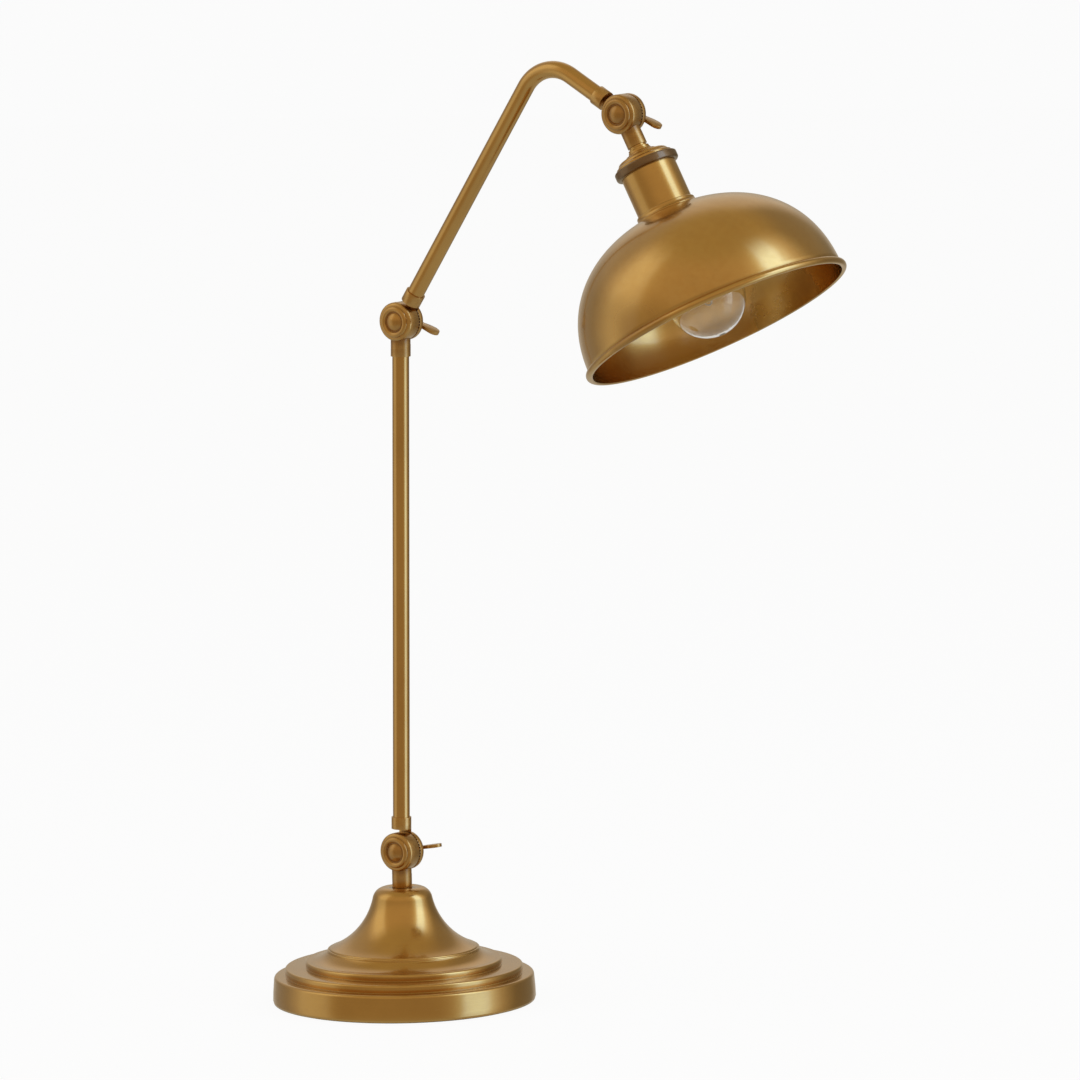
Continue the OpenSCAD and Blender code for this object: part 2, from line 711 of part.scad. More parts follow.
module bulb_glass() {
    in_r = bulb_r - glass_wall;
    in_arc = neck_arc + glass_wall;
    waist = bulb_r + neck_arc;
    waist_x = waist * cos(neck_turn);
    waist_s = globe_s - waist * sin(neck_turn);
    root = glass_root;
    color(glass) at_head() spun(down(concat(
        arc(0, globe_s, bulb_r, 90, -neck_turn, 24),
        arc(waist_x, waist_s, neck_arc, 180 - neck_turn, 180, 6),
        [[glass_neck_r, screw_end + 0.6], [root, screw_end],
        [root, screw_end - glass_sink], [root - glass_wall, screw_end - glass_sink],
        [root - glass_wall, screw_end],
        [glass_neck_r - glass_wall, screw_end + 1.4]],
        arc(waist_x, waist_s, in_arc, 180, 180 - neck_turn, 6),
        arc(0, globe_s, in_r, -neck_turn, 90, 24))));
}

module bulb_stem() {
    root = glass_root - glass_wall - seat;
    color(glass) at_head() spun(down([[0, screw_end - 5], [root, screw_end - 5],
        [root, screw_end - 4], [4.5, screw_end + 3], [2.6, stem_end - 9], [3.4, stem_end - 4],
        [2.2, stem_end], [0, stem_end]]));
}

// Two lead wires that rise from the stem and carry the filament's ends
module bulb_lead_wires() {
    rise = filament_s - stem_end;
    lean = atan((filament_r - wire_x) / rise);
    color(steel) at_head() for (side = [-1, 1])
        translate([0, side * wire_x, -stem_end]) rotate([side * lean, 0, 0])
            rod(2 * wire_r, -rise / cos(lean) + wire_gap, -wire_gap);
}

// The filament's arch, drawn as one round wire
module bulb_filament() {
    color(steel) at_head() translate([0, 0, -filament_s]) rotate([-90, 0, 90])
        rotate_extrude(angle = 180) translate([filament_r, 0]) circle(r = 0.5, $fn = 16);
}

base_shell();
base_weight();
felt_pad();
stem_nipple();
stem_washer();
stem_nut();
cord_grommet();
lower_knuckle_front();
lower_bolt();
lower_cap();
lower_knuckle_rear();
lower_washer();
lower_wing_nut();
post_tube();
mid_knuckle_front();
mid_bolt();
mid_cap();
mid_knuckle_rear();
mid_washer();
mid_wing_nut();
arm_tube();
upper_knuckle_rear();
upper_knuckle_front();
upper_bolt();
upper_cap();
upper_washer();
upper_wing_nut();
head_nipple();
head_coupling();
socket_cap();
socket_ring();
socket_cup();
shade_collar();
shade();
shade_ring_nut();
lampholder_body();
lampholder_shell();
lampholder_contact();
bulb_screw_cap();
bulb_insulator();
bulb_contact();
bulb_glass();
bulb_stem();
bulb_lead_wires();
bulb_filament();
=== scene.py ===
# %% [markdown]
# # A dome shade desk lamp in antique brass
# The lamp is turned, spun and bent from brass: a stepped base, a straight post, a bent arm,
# three toothed knuckles and a spun shade over a clear bulb. Every piece is made in metres in
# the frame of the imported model, so a piece is drawn where it really sits and needs no fitting.

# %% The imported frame
import json
import math

import bmesh
import bpy
from mathutils import Matrix, Vector

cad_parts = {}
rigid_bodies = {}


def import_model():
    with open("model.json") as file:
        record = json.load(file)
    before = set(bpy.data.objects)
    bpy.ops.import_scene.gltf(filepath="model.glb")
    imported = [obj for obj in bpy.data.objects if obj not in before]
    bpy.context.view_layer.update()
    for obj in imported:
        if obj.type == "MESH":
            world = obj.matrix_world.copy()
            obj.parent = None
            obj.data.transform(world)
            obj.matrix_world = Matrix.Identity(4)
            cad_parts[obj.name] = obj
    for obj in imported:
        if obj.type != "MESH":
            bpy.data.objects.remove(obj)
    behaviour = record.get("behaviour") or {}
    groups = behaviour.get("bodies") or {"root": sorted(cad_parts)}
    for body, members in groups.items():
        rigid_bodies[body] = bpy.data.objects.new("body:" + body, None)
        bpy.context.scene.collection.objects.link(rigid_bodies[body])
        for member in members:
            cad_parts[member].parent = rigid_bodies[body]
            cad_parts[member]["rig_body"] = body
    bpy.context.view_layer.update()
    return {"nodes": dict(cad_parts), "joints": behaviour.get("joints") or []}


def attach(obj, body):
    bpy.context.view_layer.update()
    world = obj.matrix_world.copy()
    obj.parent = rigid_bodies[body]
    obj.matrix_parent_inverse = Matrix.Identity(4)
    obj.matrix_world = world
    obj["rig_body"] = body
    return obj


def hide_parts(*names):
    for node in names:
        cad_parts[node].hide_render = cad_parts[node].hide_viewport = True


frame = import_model()
scene = bpy.context.scene

# %% [markdown]
# The lamp bends at three pivots, and each stretch between two pivots has its own direction.
# The pivots come from the frame's joints, so the drawing follows the model. A local frame for
# each stretch lets a piece be drawn upright, as it would lie on the bench, and then be placed.

# %% Pivots and local frames
MM = 0.001
ARM_LEAN = math.radians(33.7)
BEND = math.radians(86.3)
SHADE_TILT = math.radians(28.1)

pivot = {j["name"]: Vector(j["pos_m"]) for j in frame["joints"]}
low, mid, top = pivot["lower_tilt"], pivot["mid_tilt"], pivot["head_tilt"]
post_lean = math.atan2((mid - low).x, (mid - low).z)


def lean(at, angle):
    """A frame at a pivot whose Z axis leans by angle from upright towards +X."""
    return Matrix.Translation(at) @ Matrix.Rotation(angle, 4, "Y")


AT_BASE = Matrix.Identity(4)
AT_LOWER = lean(low, 0)
AT_POST = lean(low, post_lean)
AT_MID = lean(mid, post_lean)
AT_ARM = lean(mid, ARM_LEAN)
AT_HEAD = lean(top, -SHADE_TILT)
print("post leans", round(math.degrees(post_lean), 2), "degrees")

# %% [markdown]
# Finishes and repeated shapes are both networks of nodes. Their maths reads best as plain
# expressions, so one small class wraps a socket and turns + - * / into Math nodes. Every other
# node comes from one function, which takes the node's type, its settings, and the values or
# links of its sockets by name.


# %% Maths and nodes as expressions
class Wire:
    """An output socket that can be used in sums like a number."""

    def __init__(self, tree, socket):
        self.tree, self.socket = tree, socket

    def maths(self, operation, *values):
        node = self.tree.nodes.new("ShaderNodeMath")
        node.operation = operation
        for socket, value in zip(node.inputs, values):
            connect(self.tree, socket, value)
        return Wire(self.tree, node.outputs[0])

    def __add__(self, other): return self.maths("ADD", self, other)
    def __radd__(self, other): return self.maths("ADD", other, self)
    def __sub__(self, other): return self.maths("SUBTRACT", self, other)
    def __rsub__(self, other): return self.maths("SUBTRACT", other, self)
    def __mul__(self, other): return self.maths("MULTIPLY", self, other)
    def __rmul__(self, other): return self.maths("MULTIPLY", other, self)
    def __truediv__(self, other): return self.maths("DIVIDE", self, other)
    def __rtruediv__(self, other): return self.maths("DIVIDE", other, self)
    def __pow__(self, other): return self.maths("POWER", self, other)
    def __lt__(self, other): return self.maths("LESS_THAN", self, other)
    def at_most(self, other): return self.maths("MINIMUM", self, other)
    def at_least(self, other): return self.maths("MAXIMUM", self, other)
    def sine(self): return self.maths("SINE", self)
    def cosine(self): return self.maths("COSINE", self)
    def angle_of_sine(self): return self.maths("ARCSINE", self)
    def angle_of_cosine(self): return self.maths("ARCCOSINE", self)


def connect(tree, socket, value):
    """Link a wire to a socket, or write a plain value on it."""
    if isinstance(value, Wire):
        tree.links.new(value.socket, socket)
    else:
        socket.default_value = value


def socket_of(sockets, key):
    """A socket by its number, its identifier or its name."""
    if isinstance(key, int):
        return sockets[key]
    named = [s for s in sockets if s.identifier == key]
    return (named or [s for s in sockets if s.name == key.replace("_", " ") and s.enabled])[0]


def add_node(tree, kind, settings=None, output=0, **values):
    """Add a node, set it up, fill its sockets and return one of its outputs."""
    node = tree.nodes.new(kind)
    for name, value in (settings or {}).items():
        if name == "stops":
            ramp = node.color_ramp.elements
            for k, (place, shade_of) in enumerate(value):
                stop = ramp[k] if k < 2 else ramp.new(1.0)
                stop.position, stop.color = place, shade_of
        else:
            setattr(node, name, value)
    for name, value in values.items():
        connect(tree, socket_of(node.inputs, name), value)
    return Wire(tree, socket_of(node.outputs, output))


class Finish:
    """A material with a Principled shader whose sockets are filled by name."""

    def __init__(self, name, **constants):
        self.material = bpy.data.materials.new(name)
        self.material.use_nodes = True
        self.tree = self.material.node_tree
        self.shader = self.tree.nodes["Principled BSDF"]
        self.set(**constants)

    def set(self, **sockets):
        for name, value in sockets.items():
            connect(self.tree, self.shader.inputs[name.replace("_", " ")], value)

    def node(self, kind, settings=None, output=0, **values):
        return add_node(self.tree, kind, settings, output, **values)

    def noise(self, vector, scale, detail=3.0, roughness=0.5):
        return self.node("ShaderNodeTexNoise", Vector=vector, Scale=scale, Detail=detail,
                         Roughness=roughness)

    def attribute(self, name, output="Fac"):
        return self.node("ShaderNodeAttribute", {"attribute_name": name}, output)

    def place(self):
        return self.node("ShaderNodeTexCoord", output="Object")

    def stretch(self, vector, scale):
        return self.node("ShaderNodeMapping", Vector=vector, Scale=scale)

    def blend(self, factor, first, second):
        """Mix two colours."""
        return self.node("ShaderNodeMix", {"data_type": "RGBA"}, "Result_Color",
                         Factor_Float=factor, A_Color=first, B_Color=second)

    def steps(self, value, low_edge, high_edge):
        """0 below low_edge, 1 above high_edge, and a smooth rise in between."""
        return self.node("ShaderNodeMapRange", {"interpolation_type": "SMOOTHSTEP"}, "Result",
                         Value=value, From_Min=low_edge, From_Max=high_edge)

    def bump(self, height, distance, strength=1.0):
        return self.node("ShaderNodeBump", Height=height, Distance=distance, Strength=strength)


print("maths and nodes ready")

# %% [markdown]
# Antique brass is brass that has been darkened with a patina, rubbed back and lacquered. The
# rubbing leaves fine lines, which on a spun piece run round the axis, and it lifts the patina
# from proud edges but leaves it in the corners. Each mesh below carries two attributes for
# this: grain, a position that is stretched round the axis, and turn, which is above nought on
# proud edges and below nought in corners. The darkening in the corners is partly that patina
# and partly painted shade, for the shade that falls in them.


# %% Brass finishes
def colour(red, green, blue):
    return (red, green, blue, 1.0)


ROUND = (60.0, 60.0, 2600.0)
ALONG = (1500.0, 1500.0, 8.0)


def brass(name, rubbed, patina, proud, rough=0.20, lines_run=ROUND, depth=0.000005, mottle=0.4):
    """Lacquered brass with a rubbed patina and painted shade in its corners. lines_run says how
    the brushing is stretched.
    """
    finish = Finish(name, Metallic=1.0, Coat_Weight=0.8, Coat_Roughness=0.09, Coat_IOR=1.65)
    here, turn = finish.place(), finish.attribute("turn")
    grain = finish.attribute("grain", "Vector")
    cloud = finish.noise(here, 20.0, 4.0, 0.55)
    specks = finish.noise(here, 210.0, 3.0, 0.6)
    lines = finish.noise(finish.stretch(grain, lines_run), 1.0, 2.0, 0.6)
    # painted shade: hollows and corners (turn below nought) darken towards the patina colour,
    # partly real patina and partly shade
    corner = finish.steps(0.0 - turn, 0.04, 0.6)
    edge = finish.steps(turn, 0.15, 0.9) * finish.steps(specks, 0.30, 0.62)
    dark = finish.steps(cloud * 0.65 + lines * 0.2 + specks * 0.15, 0.38, 0.66) * mottle
    body = finish.blend((dark + corner * 0.8).at_most(1.0), rubbed, patina)
    finish.set(Base_Color=finish.blend(edge * 0.45, body, proud),
               Roughness=rough + lines * 0.05 + dark * 0.10 + corner * 0.18 - edge * 0.05)
    finish.set(Normal=finish.bump(lines * 0.7 + specks * 0.3, depth, 0.6))
    return finish.material


ANTIQUE = brass("antique brass, spun", colour(0.62, 0.37, 0.115), colour(0.47, 0.255, 0.066),
                colour(0.74, 0.52, 0.22))
# painted shade: a darker copy of the spun brass for the inside of the shade, standing in for the
# dim light inside the dome
SHADED_INSIDE = brass("antique brass, inside of the shade", colour(0.55, 0.35, 0.12),
               colour(0.38, 0.20, 0.055), colour(0.66, 0.44, 0.17), rough=0.22, mottle=0.7)
DRAWN = brass("antique brass, drawn tube", colour(0.62, 0.365, 0.115), colour(0.47, 0.255, 0.066),
              colour(0.74, 0.52, 0.22), rough=0.18, lines_run=ALONG)
CAST = brass("antique brass, cast", colour(0.60, 0.34, 0.10), colour(0.34, 0.16, 0.038),
             colour(0.78, 0.54, 0.23), rough=0.27, depth=0.00002, mottle=0.75)
BRONZE = brass("dark bronze", colour(0.22, 0.125, 0.065), colour(0.11, 0.06, 0.03),
               colour(0.36, 0.22, 0.12), rough=0.38, depth=0.00002)
PLAIN = brass("plain brass", colour(0.70, 0.48, 0.19), colour(0.50, 0.32, 0.11),
              colour(0.80, 0.60, 0.28), mottle=0.3)
print("brass finishes made")

# %% [markdown]
# The other finishes are seen less: zinc plated steel on the bolts, rough cast iron in the
# base, felt under it, rubber in the cord outlet, moulded phenolic in the lampholder, and glass.


# %% Other finishes
def steel():
    finish = Finish("zinc plated steel", Metallic=1.0, Anisotropic=0.3)
    cloud = finish.noise(finish.place(), 140.0)
    finish.set(Base_Color=finish.blend(cloud, colour(0.42, 0.42, 0.43), colour(0.66, 0.65, 0.62)),
               Roughness=0.28 + cloud * 0.14)
    return finish.material


def grainy(name, dark, light, rough, scale, depth):
    """A dull surface with a grain, for iron, rubber, felt and moulded pieces."""
    finish = Finish(name)
    grain = finish.noise(finish.place(), scale, 5.0, 0.65)
    finish.set(Base_Color=finish.blend(grain, dark, light), Roughness=rough + grain * 0.12)
    finish.set(Normal=finish.bump(grain, depth, 0.8))
    return finish


def glass(name, tint):
    finish = Finish(name, Transmission_Weight=1.0, IOR=1.46)
    haze = finish.noise(finish.place(), 60.0)
    finish.set(Base_Color=tint, Roughness=haze * 0.004)
    return finish.material


STEEL = steel()
IRON = grainy("cast iron", colour(0.05, 0.05, 0.05), colour(0.13, 0.12, 0.12), 0.62, 420.0,
              0.0002)
IRON.set(Metallic=0.8)
FELT = grainy("felt", colour(0.012, 0.018, 0.014), colour(0.035, 0.045, 0.038), 0.86, 1900.0,
              0.0003)
FELT.set(Sheen_Weight=0.4)
RUBBER = grainy("rubber", colour(0.012, 0.012, 0.012), colour(0.03, 0.03, 0.03), 0.6, 900.0,
                0.00005)
PHENOLIC = grainy("moulded phenolic", colour(0.010, 0.008, 0.007), colour(0.026, 0.02, 0.017),
                  0.28, 300.0, 0.00002)
SOLDER = grainy("solder", colour(0.35, 0.35, 0.36), colour(0.5, 0.5, 0.5), 0.4, 500.0, 0.00008)
SOLDER.set(Metallic=1.0)
WIRE_METAL = grainy("drawn wire", colour(0.30, 0.29, 0.27), colour(0.5, 0.48, 0.45), 0.3, 800.0,
                    0.00001)
WIRE_METAL.set(Metallic=1.0)
GLASS = glass("clear glass", colour(0.98, 0.985, 0.98))
print(len(bpy.data.materials), "finishes in all")

# %% [markdown]
# Most of the lamp is turned: a flat outline goes once round an axis. The outline is drawn as
# distance from the axis and height, in millimetres, and a real turned piece has no knife
# edges, so rounded() puts a small curve on each corner. Two extra points beside each curve keep
# the flats next to it flat in the shading.


# %% Outlines
def arc(x, y, radius, start, end, count=12):
    """Points of an arc about (x, y), from one angle to another in degrees."""
    angles = [math.radians(start + (end - start) * i / count) for i in range(count + 1)]
    return [(x + radius * math.cos(a), y + radius * math.sin(a)) for a in angles]


NEARLY_STRAIGHT = math.radians(172)


def rounded(points, radius=0.25, count=4):
    """Round the corners of a closed outline, in millimetres."""
    made = []
    for i, point in enumerate(points):
        here = Vector(point)
        back = Vector(points[i - 1]) - here
        ahead = Vector(points[(i + 1) % len(points)]) - here
        shortest = min(back.length, ahead.length)
        if shortest < 1e-6 or back.angle(ahead) > NEARLY_STRAIGHT:
            made.append(tuple(here))
            continue
        reach = min(radius / math.tan(back.angle(ahead) / 2), 0.42 * shortest)
        first, last = here + back.normalized() * reach, here + ahead.normalized() * reach
        support = min(0.25 * reach + 0.05, 0.06 * shortest + 0.001)
        made.append(tuple(first + back.normalized() * support))
        for k in range(count + 1):
            t = k / count
            made.append(tuple(first * (1 - t) ** 2 + here * 2 * t * (1 - t) + last * t ** 2))
        made.append(tuple(last + ahead.normalized() * support))
    return made


print("a square has", len(rounded([(1, 0), (9, 0), (9, 8), (1, 8)])), "points once rounded")

# %% [markdown]
# turned() spins an outline. An outline that starts and ends on the axis becomes a solid with
# two poles, and any other becomes a ring. It also writes the grain and turn attributes: the
# lathe knows the way round and the bend of the outline at every point.


# %% Turning
def signed_turn(points, closed):
    """How much an outline bends at each point: above nought where it is proud."""
    area = sum(a[0] * b[1] - b[0] * a[1] for a, b in zip(points, points[1:] + points[:1]))
    side = 1 if area > 0 else -1
    turns = []
    for i, here in enumerate(points):
        before = points[i - 1] if closed or i else here
        after = points[(i + 1) % len(points)] if closed or i < len(points) - 1 else here
        a = Vector(here) - Vector(before)
        b = Vector(after) - Vector(here)
        bend = 0.0
        if a.length > 1e-9 and b.length > 1e-9:
            bend = math.atan2(a.cross(b), a.dot(b)) / (0.5 * (a.length + b.length))
        turns.append(max(-1.0, min(1.0, side * bend)))
    return turns


def settle(piece, body, replaced=()):
    """Let a piece ride on its body, and say which nodes it stands for."""
    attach(piece, body)
    if replaced:
        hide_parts(*replaced)
    return piece


def finish_piece(piece, material, body, replaced):
    """Give a piece its finish, and settle it among the lamp's bodies."""
    piece.data.materials.clear()
    piece.data.materials.append(material)
    return settle(piece, body, replaced)


def new_object(name, mesh):
    piece = bpy.data.objects.new(name, mesh)
    scene.collection.objects.link(piece)
    return piece


def turned(name, outline, place, body, material, replaced, count=160):
    """Spin an outline in millimetres about the Z axis of place."""
    points = [(max(0.0, x), y) for x, y in outline]
    solid = points[0][0] < 1e-6 and points[-1][0] < 1e-6
    turns = signed_turn(points, not solid)
    along, lengths = 0.0, []
    for a, b in zip(points, points[1:] + points[:1]):
        lengths.append(along)
        along += math.dist(a, b)
    work = bmesh.new()
    grain = work.verts.layers.float_vector.new("grain")
    turn = work.verts.layers.float.new("turn")
    rings = []
    for (x, y), bend, length in zip(points, turns, lengths):
        ring = []
        steps = 1 if x < 1e-6 else count
        for k in range(steps):
            a = 2 * math.pi * k / count
            spot = Vector((x * math.cos(a), x * math.sin(a), y)) * MM
            vert = work.verts.new(place @ spot)
            vert[grain] = Vector((math.cos(a) * 10, math.sin(a) * 10, length)) * MM
            vert[turn] = bend
            ring.append(vert)
        rings.append(ring)
    pairs = list(zip(rings, rings[1:])) + ([] if solid else [(rings[-1], rings[0])])
    for one, two in pairs:
        for k in range(count):
            corners = [one[k % len(one)], one[(k + 1) % len(one)],
                       two[(k + 1) % len(two)], two[k % len(two)]]
            corners = list(dict.fromkeys(corners))
            if len(corners) > 2:
                work.faces.new(corners).smooth = True
    bmesh.ops.recalc_face_normals(work, faces=work.faces)
    mesh = bpy.data.meshes.new(name)
    work.to_mesh(mesh)
    work.free()
    return finish_piece(new_object(name, mesh), material, body, replaced)


print("lathe ready")

# %% [markdown]
# Cast and machined pieces keep the shape that the model gives them. refined() takes a copy of
# such a node, joins its loose triangles and clears the flats of needless edges. Where it is
# given a radius it also rounds every sharp edge, which then catches the light as a real
# casting's does.


# %% Refining
NEARLY_FLAT, SHARP, CREASE = math.radians(1.0), math.radians(35), math.radians(40)


def edge_turns(work, layer):
    """Write how proud or hollow each corner of a mesh is."""
    for vert in work.verts:
        angles = [e.calc_face_angle_signed(0.0) for e in vert.link_edges if len(e.link_faces) == 2]
        strongest = max(angles, key=abs, default=0.0)
        vert[layer] = max(-1.0, min(1.0, 1.6 * strongest))


def refined(node, material, round_mm):
    """A smoother copy of a CAD node, with its edges rounded."""
    source = frame["nodes"][node]
    work = bmesh.new()
    work.from_mesh(source.data)
    bmesh.ops.remove_doubles(work, verts=work.verts, dist=2e-6)
    bmesh.ops.dissolve_limit(work, angle_limit=NEARLY_FLAT, verts=work.verts,
                             edges=work.edges)
    if round_mm:
        edges = [e for e in work.edges if len(e.link_faces) == 2
                 and e.calc_face_angle(0.0) > SHARP]
        bmesh.ops.bevel(work, geom=edges, offset=round_mm * MM, segments=2, profile=0.5,
                        affect="EDGES", clamp_overlap=True)
    grain = work.verts.layers.float_vector.new("grain")
    turn = work.verts.layers.float.new("turn")
    edge_turns(work, turn)
    for vert in work.verts:
        vert[grain] = vert.co
    for face in work.faces:
        face.smooth = True
    open_edges = sum(1 for e in work.edges if len(e.link_faces) != 2)
    mesh = bpy.data.meshes.new(node + "_piece")
    work.to_mesh(mesh)
    work.free()
    mesh.set_sharp_from_angle(angle=CREASE)
    piece = new_object(mesh.name, mesh)
    print(mesh.name, len(mesh.polygons), "faces,", open_edges, "open edges")
    return finish_piece(piece, material, source["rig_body"], [node])


print("refining ready for", len(frame["nodes"]), "nodes")

# %% [markdown]
# The base is a thin shell spun in steps: a plinth, two tiers, a cove and a bell. Its outline
# is drawn from the table up to the stem's hole, and comes back down inside as the shell's
# other face. Small arcs on the tiers give the bright lines that the steps show.

# %% Base shell
BASE_R, PLINTH_H, PLINTH_TAPER, PLINTH_ROUND = 99.4, 21.0, 1.0, 2.5
TIER2_R, TIER2_Z, TIER3_R, TIER3_Z = 90.0, 27.25, 74.5, 32.5
TIER_ROUND, TIER_CUT, TIER_FOOT = 1.8, 0.6, 1.5
FOOT_R, FOOT_Z, FOOT_EDGE, FOOT_LIP, BELL_Z = 57.5, 40.75, 1.5, 0.8, 87.15
FLARE_R, FLARE_SLOPE, SHOULDER_R, SHELL_WALL = 52.5, 18.0, 10.0, 2.4
LIP_Z, LIP_H, STEM_R = 0.6, 2.0, 5.05

flare_x = FOOT_R + FLARE_R * math.sin(math.radians(FLARE_SLOPE))
flare_z = FOOT_Z + FLARE_R * math.cos(math.radians(FLARE_SLOPE))
shoulder_z = BELL_Z - SHOULDER_R
shoulder_x = flare_x - math.sqrt((FLARE_R + SHOULDER_R) ** 2 - (flare_z - shoulder_z) ** 2)
flare_top = math.degrees(math.acos((flare_z - shoulder_z) / (FLARE_R + SHOULDER_R)))
cove_x = TIER3_R - TIER_ROUND
cove_w, cove_h = cove_x - FOOT_R, FOOT_Z - FOOT_EDGE - TIER3_Z
cove_r = (cove_w ** 2 + cove_h ** 2) / (2 * cove_h)
cove_end = math.degrees(math.asin(cove_w / cove_r))
cove_z = TIER3_Z + cove_r


def tier(radius, foot, top):
    """A tier's rim: a small cut at its foot, a plain wall and a round edge."""
    return ([(radius - TIER_CUT + 0.5, foot), (radius - TIER_CUT, foot + 0.12),
             (radius - 0.25, foot + 0.9), (radius, foot + TIER_FOOT)]
            + arc(radius - TIER_ROUND, top - TIER_ROUND, TIER_ROUND, 0, 90, 9))


def base_outline():
    wall = SHELL_WALL
    outside = (
        [(BASE_R - 0.6, LIP_Z), (BASE_R, LIP_Z + LIP_H), (BASE_R - 0.2, LIP_Z + 8)]
        + arc(BASE_R - PLINTH_TAPER - PLINTH_ROUND, PLINTH_H - PLINTH_ROUND, PLINTH_ROUND,
              0, 90, 9)
        + tier(TIER2_R, PLINTH_H, TIER2_Z) + tier(TIER3_R, TIER2_Z, TIER3_Z)
        + arc(cove_x, cove_z, cove_r, 270, 270 - cove_end, 24)[1:]
        + arc(FOOT_R - FOOT_LIP, FOOT_Z - FOOT_LIP, FOOT_LIP, 0, 115, 8)
        + [(FOOT_R - 1.25, FOOT_Z - 0.45), (FOOT_R - 1.45, FOOT_Z - 0.1)]
        + arc(flare_x, flare_z, FLARE_R, 268.3 - FLARE_SLOPE, 270 - flare_top, 48)
        + arc(shoulder_x, shoulder_z, SHOULDER_R, 90 - flare_top, 90, 16)[1:])
    inside = (
        arc(shoulder_x, shoulder_z, SHOULDER_R - wall, 90, 90 - flare_top, 10)
        + arc(flare_x, flare_z, FLARE_R + wall, 270 - flare_top, 270 - FLARE_SLOPE, 24)
        + arc(cove_x, cove_z, cove_r + wall, 270 - cove_end, 270, 12)
        + [(TIER3_R - wall, TIER3_Z - wall), (TIER3_R - wall, TIER2_Z - wall),
           (TIER2_R - wall, TIER2_Z - wall), (TIER2_R - wall, PLINTH_H - wall),
           (BASE_R - PLINTH_TAPER - wall, PLINTH_H - wall), (BASE_R - wall, LIP_Z + LIP_H),
           (BASE_R - wall, LIP_Z)])
    return outside + [(STEM_R, BELL_Z), (STEM_R, BELL_Z - wall)] + inside


base_shell = turned("base_shell_piece", base_outline(), AT_BASE, "base", ANTIQUE,
                    ["base_shell"], count=256)
print("base shell", len(base_shell.data.polygons), "faces")

# %% [markdown]
# A knuckle is two castings that meet in a ring of teeth, so its castings keep the model's
# shape with their edges rounded. The cap on its front is turned: a ring, a groove, and a low
# dome in the middle. The dome is part of a ball, whose radius follows from its width and rise.

# %% Knuckles and caps
FRONT_Y, CAP_R, DOME_R, DOME_Y, CROWN, PLUG_R, PLUG_Y = 8.4, 11.9, 6.8, 0.6, 2.7, 6.15, 3.4
RING_TOP, RING_ROUND, RING_IN, SEAT_GAP = 1.8, 2.3, 2.2, 0.05
knuckle_frames = {"lower": AT_LOWER, "mid": AT_MID, "upper": AT_HEAD}
knuckle_bodies = {"lower": "base", "mid": "post", "upper": "head"}
ball = (DOME_R ** 2 + CROWN ** 2) / (2 * CROWN)
ball_end = math.degrees(math.asin(DOME_R / ball))


def facing(place, y):
    """A frame on a hinge axis, y millimetres along it, whose Z axis points out at the front."""
    return place @ Matrix.Translation((0, y * MM, 0)) @ Matrix.Rotation(math.pi / 2, 4, "X")


def cap_outline():
    return (
        [(0, -PLUG_Y), (PLUG_R, -PLUG_Y), (PLUG_R, -SEAT_GAP), (CAP_R - 0.1, -SEAT_GAP)]
        + arc(CAP_R - RING_IN, RING_TOP - RING_ROUND, RING_ROUND, 14, 146, 16)
        + [(DOME_R + 0.85, 0.42), (DOME_R + 0.5, 0.3), (DOME_R + 0.15, 0.42)]
        + arc(0, DOME_Y + CROWN - ball, ball, 90 - ball_end, 90, 14))


for name, place in knuckle_frames.items():
    turned(name + "_cap_piece", cap_outline(), facing(place, -FRONT_Y), knuckle_bodies[name],
           CAST, [name + "_cap"], count=96)
    for half in ("front", "rear"):
        refined(name + "_knuckle_" + half, CAST, 0.22)
print("the caps' domes are part of a ball of", round(2 * ball, 1), "mm")

# %% [markdown]
# Wing nuts, bolts and washers repeat at each knuckle. They keep the model's shape, with more
# rounding on the wings, which a foundry leaves soft.

# %% Nuts, bolts and washers
for name in knuckle_frames:
    refined(name + "_wing_nut", CAST, 0.6)
    refined(name + "_bolt", STEEL, 0.12)
    refined(name + "_washer", CAST, 0.12)
print(len(knuckle_frames), "sets of nut, bolt and washer")

# %% [markdown]
# Some of the lamp follows a rule, which suits Geometry Nodes: the tubes follow a path, the shade
# follows a curve, threads and the filament wind round. Recipe builds such a tree, with a named
# input for each size. make() runs the tree once and returns a plain mesh, so that no modifier is
# left on the piece.


# %% Recipes for Geometry Nodes
RECIPE_CREASE = math.radians(50)


